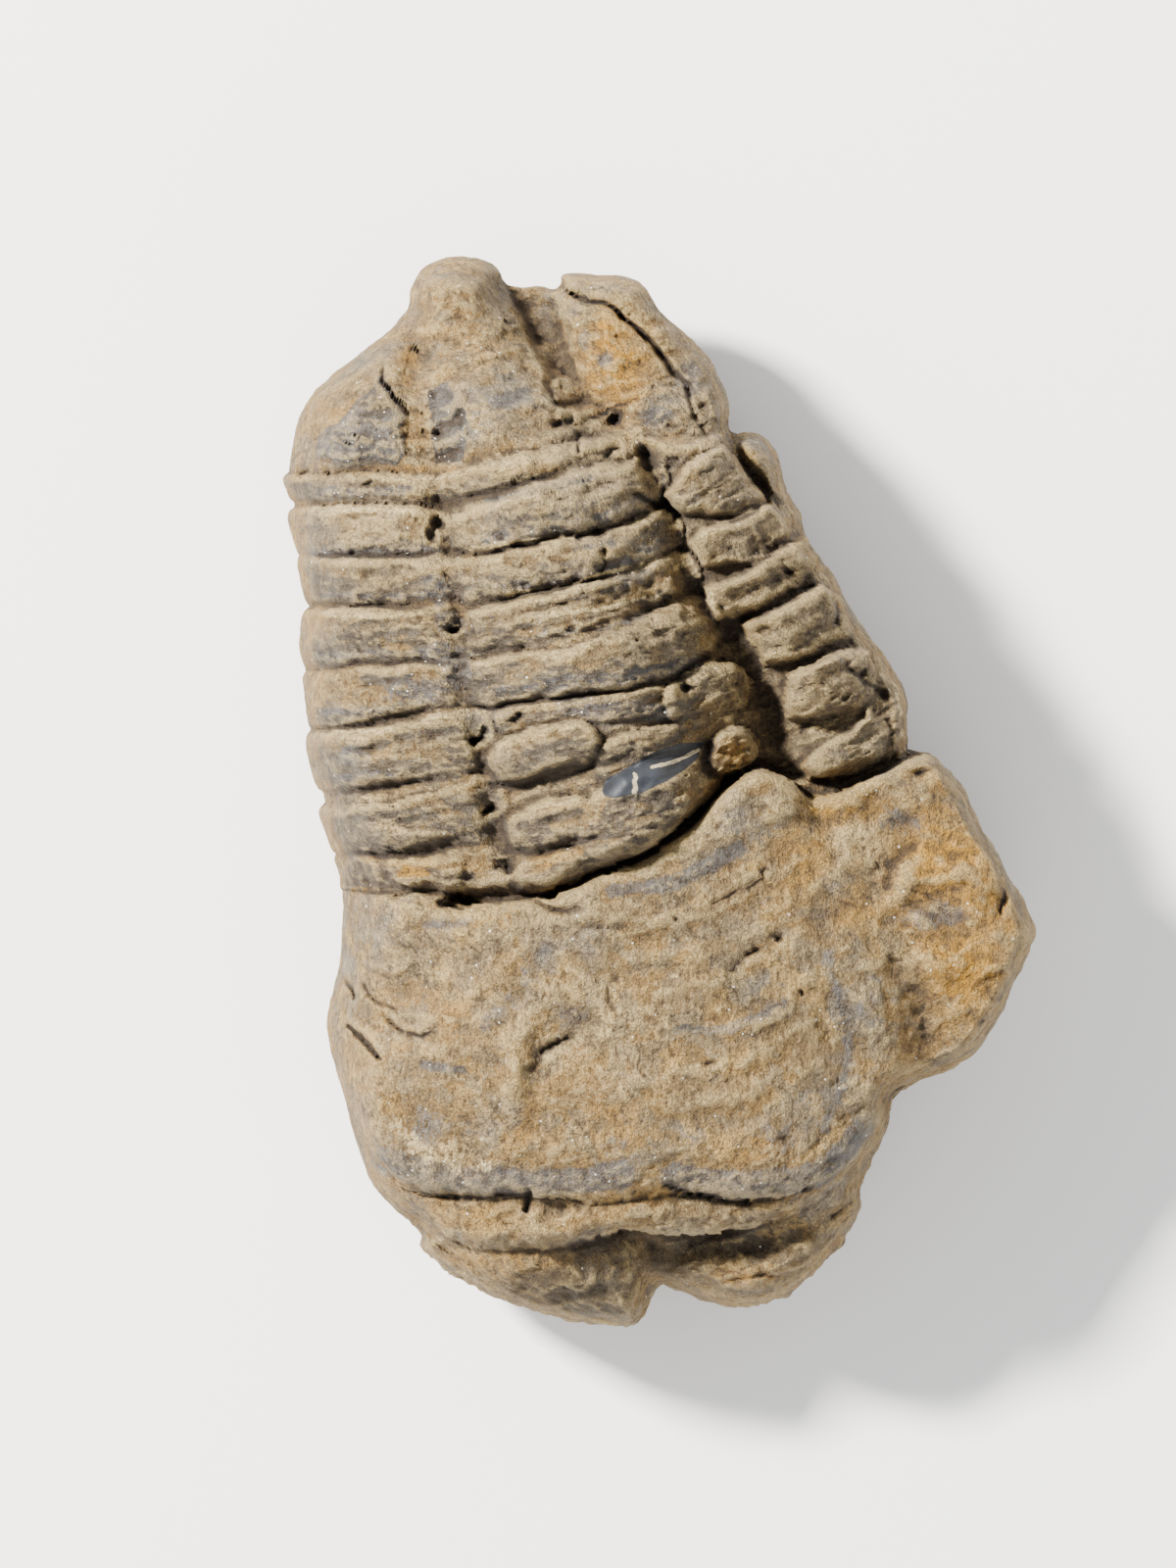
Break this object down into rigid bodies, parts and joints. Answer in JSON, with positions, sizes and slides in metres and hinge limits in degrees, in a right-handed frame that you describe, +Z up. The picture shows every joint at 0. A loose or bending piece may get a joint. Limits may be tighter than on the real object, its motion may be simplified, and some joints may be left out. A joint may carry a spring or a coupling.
{
  "type": "fossil trilobite",
  "caption": "Weathered trilobite in dull brown limestone, back up, with ribbed left side, arched axis rings, broken right ribs, wide head shield and flat underside.",
  "frame": {"origin": "middle of the box around the stone, at the flat underside", "axes": "+Z up out of the back, +Y towards the tail, -Y towards the head, +X towards the broken side"},
  "size_m": [0.0556, 0.0798, 0.0376],
  "materials": {
    "fossil_stone": "dull weathered limestone, tan-grey with ochre, cream and slate-blue patches and fine gritty grain"
  },
  "bodies": {
    "root": {"trilobite_fossil": "fossil_stone"}
  },
  "joints": []
}
